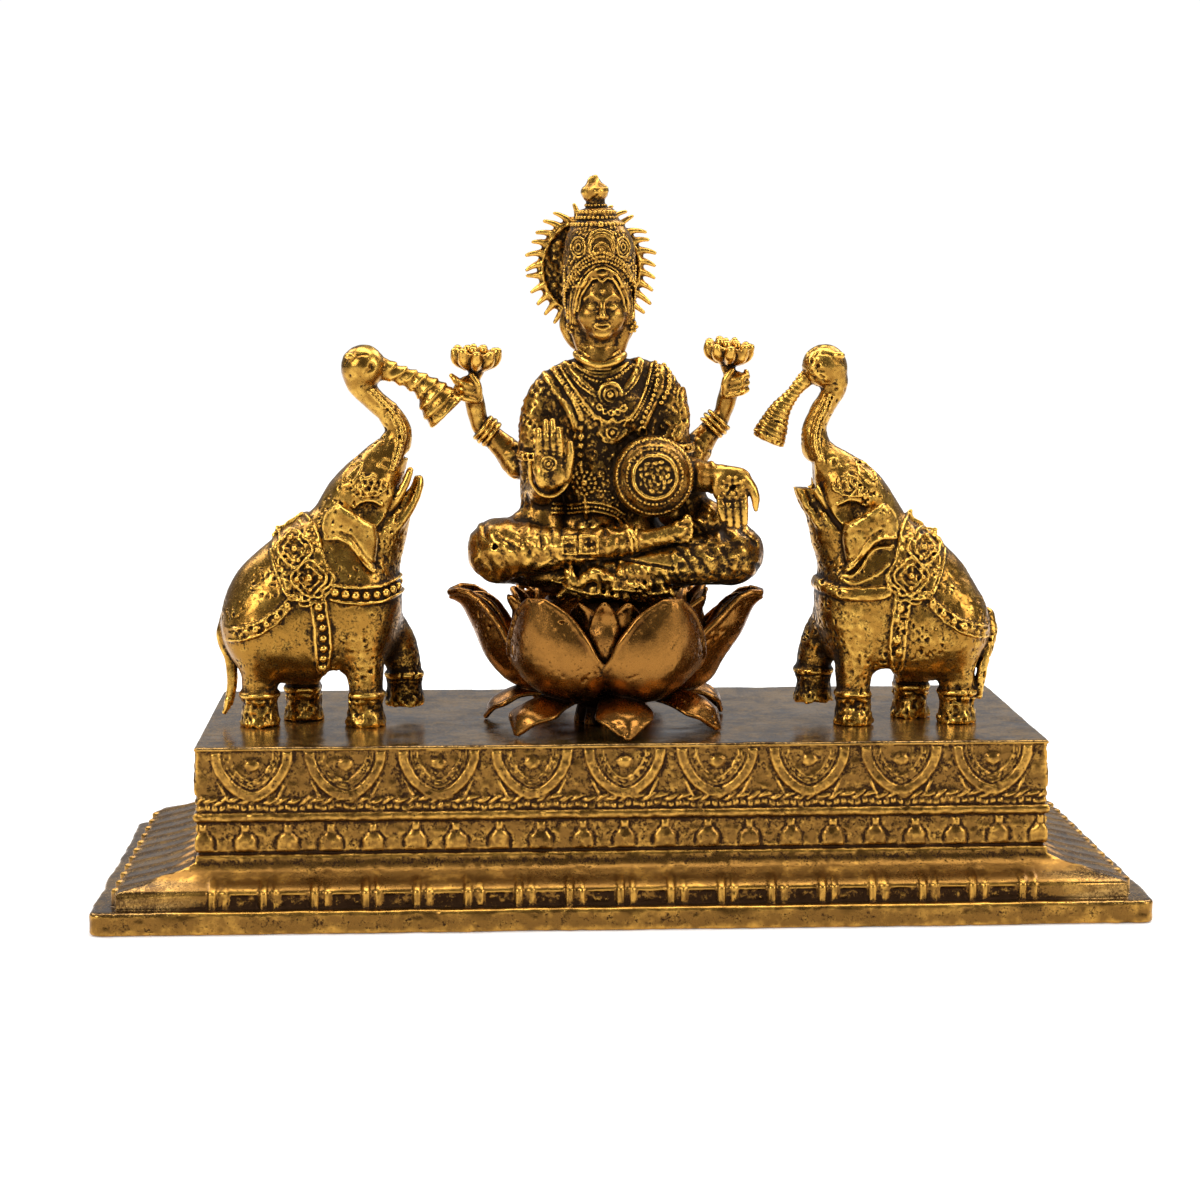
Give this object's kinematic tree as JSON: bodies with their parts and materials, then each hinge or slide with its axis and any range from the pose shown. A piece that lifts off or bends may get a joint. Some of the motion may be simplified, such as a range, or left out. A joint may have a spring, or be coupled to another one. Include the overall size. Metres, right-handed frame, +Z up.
{
  "type": "lakshmi figure",
  "caption": "Cast tabletop figure of a seated four-armed goddess on an open lotus, between two elephants that raise spouted vessels, on a carved and ribbed plinth.",
  "frame": {"origin": "middle of the slab's underside", "axes": "+X along the plinth towards the right elephant as the viewer sees it, +Y away from the viewer towards the back, +Z up"},
  "size_m": [0.28, 0.1156, 0.196],
  "materials": {
    "gold": "antique gold, bright on the high places, with dark brown patina in the recesses",
    "copper": "satin copper brown with bright rolled rims",
    "bronze": "dull antique gold moulding and carving round a dark brown, glossy, speckled top"
  },
  "bodies": {
    "root": {"plinth": "bronze", "lotus_seat": "copper", "seated_goddess": "gold", "left_elephant": "gold", "right_elephant": "gold"}
  },
  "joints": []
}
